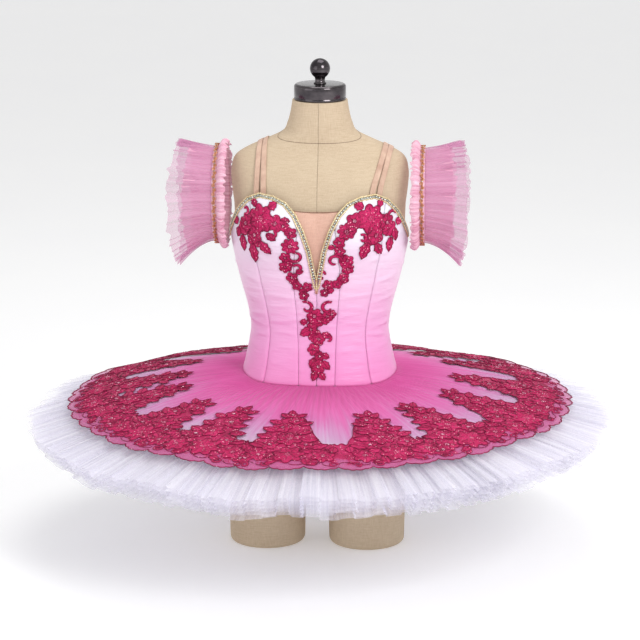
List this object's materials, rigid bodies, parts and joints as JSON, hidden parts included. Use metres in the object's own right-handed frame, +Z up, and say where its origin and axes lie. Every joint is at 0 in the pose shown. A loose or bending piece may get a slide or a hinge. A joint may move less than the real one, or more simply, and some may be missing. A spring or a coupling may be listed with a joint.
{
  "type": "ballet tutu on a dress form",
  "caption": "Pancake tutu with a boned satin bodice, lace-bordered tulle skirt and loose arm frills, standing on a limbless linen dress form with a ball finial.",
  "frame": {"origin": "on the floor, under the middle of the skirt", "axes": "+Z up, front of the bodice towards -Y, +X to the right seen from the front"},
  "size_m": [1.042, 1.042, 0.8799],
  "materials": {
    "form_linen": "matte beige linen",
    "cap_chrome": "dark polished chrome",
    "bodice_satin": "satin shaded from white to pink",
    "skin_net": "fine skin-coloured net",
    "strap_elastic": "ribbed elastic",
    "gold_braid": "metallic thread with beads",
    "crimson_lace": "corded lace with small beads",
    "pink_tulle": "soft gathered tulle",
    "shaded_net": "stiff net shaded from magenta to pale pink",
    "white_tulle": "stiff white tulle"
  },
  "bodies": {
    "root": {"form_torso": "form_linen", "form_thigh_left": "form_linen", "form_thigh_right": "form_linen", "neck_cap": "cap_chrome", "finial": "cap_chrome", "bodice_front_centre_left": "bodice_satin", "bodice_front_princess_left": "bodice_satin", "bodice_side_left": "bodice_satin", "bodice_back_side_left": "bodice_satin", "bodice_back_centre_left": "bodice_satin", "neckline_braid_left": "gold_braid", "applique_bust_left": "crimson_lace", "applique_chain_left": "crimson_lace", "arm_band_left": "pink_tulle", "arm_heading_left": "pink_tulle", "arm_braid_left": "gold_braid", "arm_frill_under_left": "pink_tulle", "arm_frill_over_left": "pink_tulle", "bodice_front_centre_right": "bodice_satin", "bodice_front_princess_right": "bodice_satin", "bodice_side_right": "bodice_satin", "bodice_back_side_right": "bodice_satin", "bodice_back_centre_right": "bodice_satin", "neckline_braid_right": "gold_braid", "applique_bust_right": "crimson_lace", "applique_chain_right": "crimson_lace", "arm_band_right": "pink_tulle", "arm_heading_right": "pink_tulle", "arm_braid_right": "gold_braid", "arm_frill_under_right": "pink_tulle", "arm_frill_over_right": "pink_tulle", "plunge_insert": "skin_net", "applique_spray_centre": "crimson_lace", "strap_left_inner": "strap_elastic", "strap_left_outer": "strap_elastic", "strap_right_inner": "strap_elastic", "strap_right_outer": "strap_elastic", "briefs": "white_tulle", "briefs_gusset": "white_tulle", "overskirt": "shaded_net", "lace_border": "crimson_lace", "tulle_1": "white_tulle", "tulle_2": "white_tulle", "tulle_3": "white_tulle", "tulle_4": "white_tulle", "tulle_5": "white_tulle", "tulle_6": "white_tulle"}
  },
  "joints": []
}
